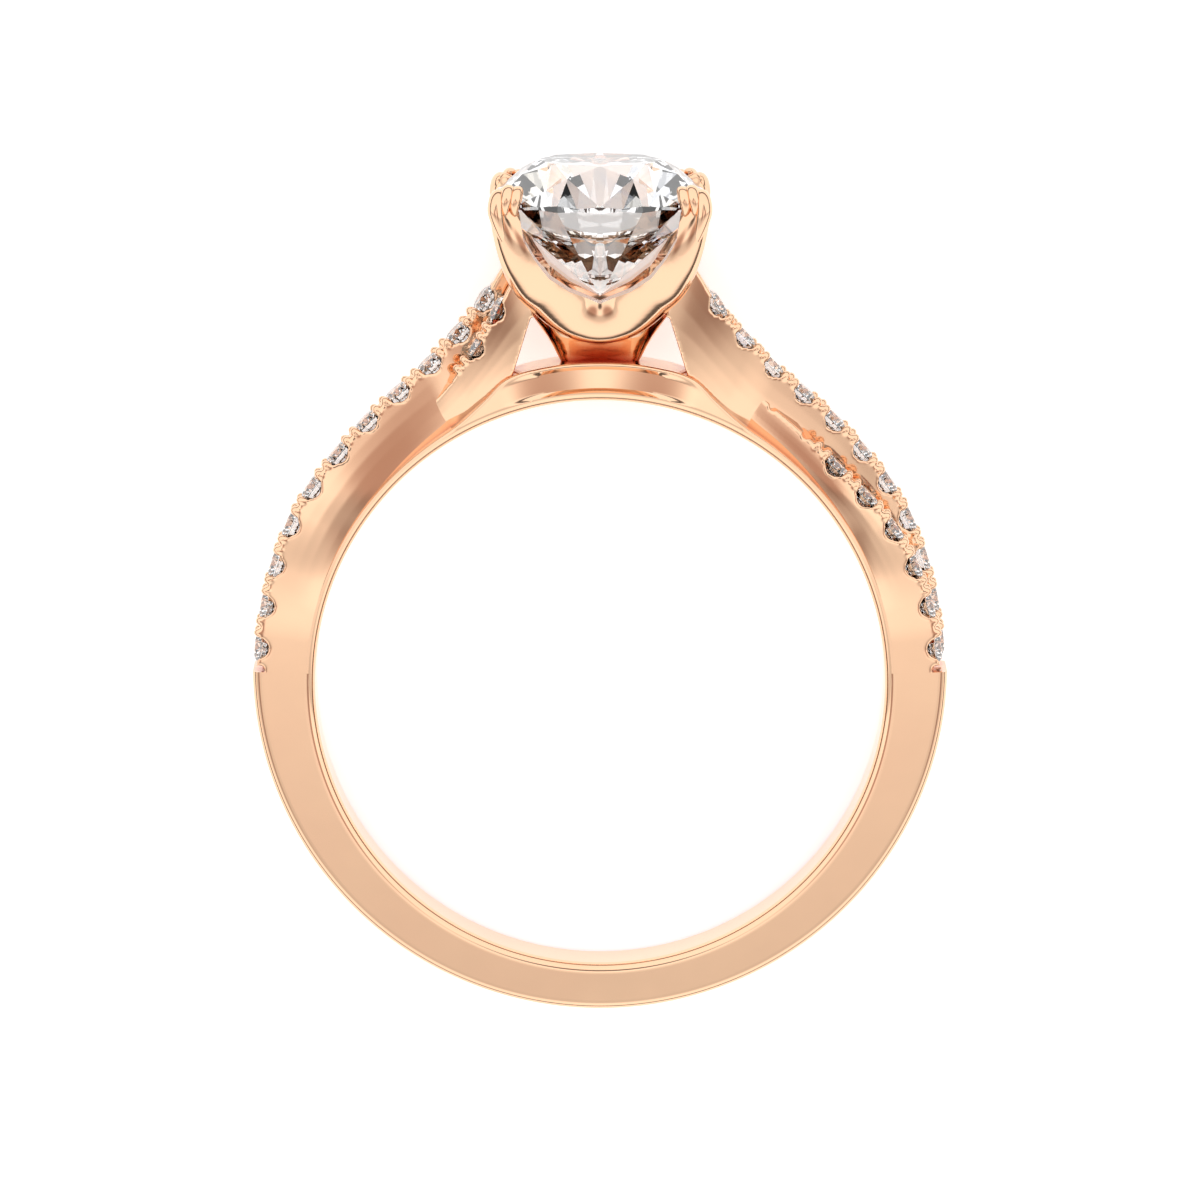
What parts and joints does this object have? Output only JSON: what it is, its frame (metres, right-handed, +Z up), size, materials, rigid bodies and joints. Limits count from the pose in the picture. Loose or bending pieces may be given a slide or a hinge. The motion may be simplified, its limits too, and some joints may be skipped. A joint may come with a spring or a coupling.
{
  "type": "twisted shank ring",
  "caption": "Round-stone ring with a four-claw tulip head and shoulders of two crossing stone-set strands, lying on its side.",
  "frame": {"origin": "centre of the bottom of the ring's box, where it rests on a surface", "axes": "+Y from the foot towards the stone, +Z up, out of the face that the picture shows"},
  "size_m": [0.0206, 0.0256, 0.0065],
  "materials": {
    "rose_gold": "polished",
    "centre_diamond": "cut and polished",
    "accent_diamond": "cut and polished"
  },
  "bodies": {
    "root": {"ring_body": "rose_gold", "centre_stone": "centre_diamond", "accent_stone_upper_right_1": "accent_diamond", "accent_stone_upper_right_2": "accent_diamond", "accent_stone_upper_right_3": "accent_diamond", "accent_stone_upper_right_4": "accent_diamond", "accent_stone_upper_right_5": "accent_diamond", "accent_stone_upper_right_6": "accent_diamond", "accent_stone_upper_right_7": "accent_diamond", "accent_stone_upper_right_8": "accent_diamond", "accent_stone_upper_right_9": "accent_diamond", "accent_stone_upper_right_10": "accent_diamond", "accent_stone_upper_right_11": "accent_diamond", "accent_stone_upper_left_1": "accent_diamond", "accent_stone_upper_left_2": "accent_diamond", "accent_stone_upper_left_3": "accent_diamond", "accent_stone_upper_left_4": "accent_diamond", "accent_stone_upper_left_5": "accent_diamond", "accent_stone_upper_left_6": "accent_diamond", "accent_stone_upper_left_7": "accent_diamond", "accent_stone_upper_left_8": "accent_diamond", "accent_stone_upper_left_9": "accent_diamond", "accent_stone_upper_left_10": "accent_diamond", "accent_stone_upper_left_11": "accent_diamond", "accent_stone_lower_right_1": "accent_diamond", "accent_stone_lower_right_2": "accent_diamond", "accent_stone_lower_right_3": "accent_diamond", "accent_stone_lower_right_4": "accent_diamond", "accent_stone_lower_right_5": "accent_diamond", "accent_stone_lower_right_6": "accent_diamond", "accent_stone_lower_right_10": "accent_diamond", "accent_stone_lower_right_11": "accent_diamond", "accent_stone_lower_left_1": "accent_diamond", "accent_stone_lower_left_2": "accent_diamond", "accent_stone_lower_left_3": "accent_diamond", "accent_stone_lower_left_4": "accent_diamond", "accent_stone_lower_left_5": "accent_diamond", "accent_stone_lower_left_6": "accent_diamond", "accent_stone_lower_left_10": "accent_diamond", "accent_stone_lower_left_11": "accent_diamond"}
  },
  "joints": []
}
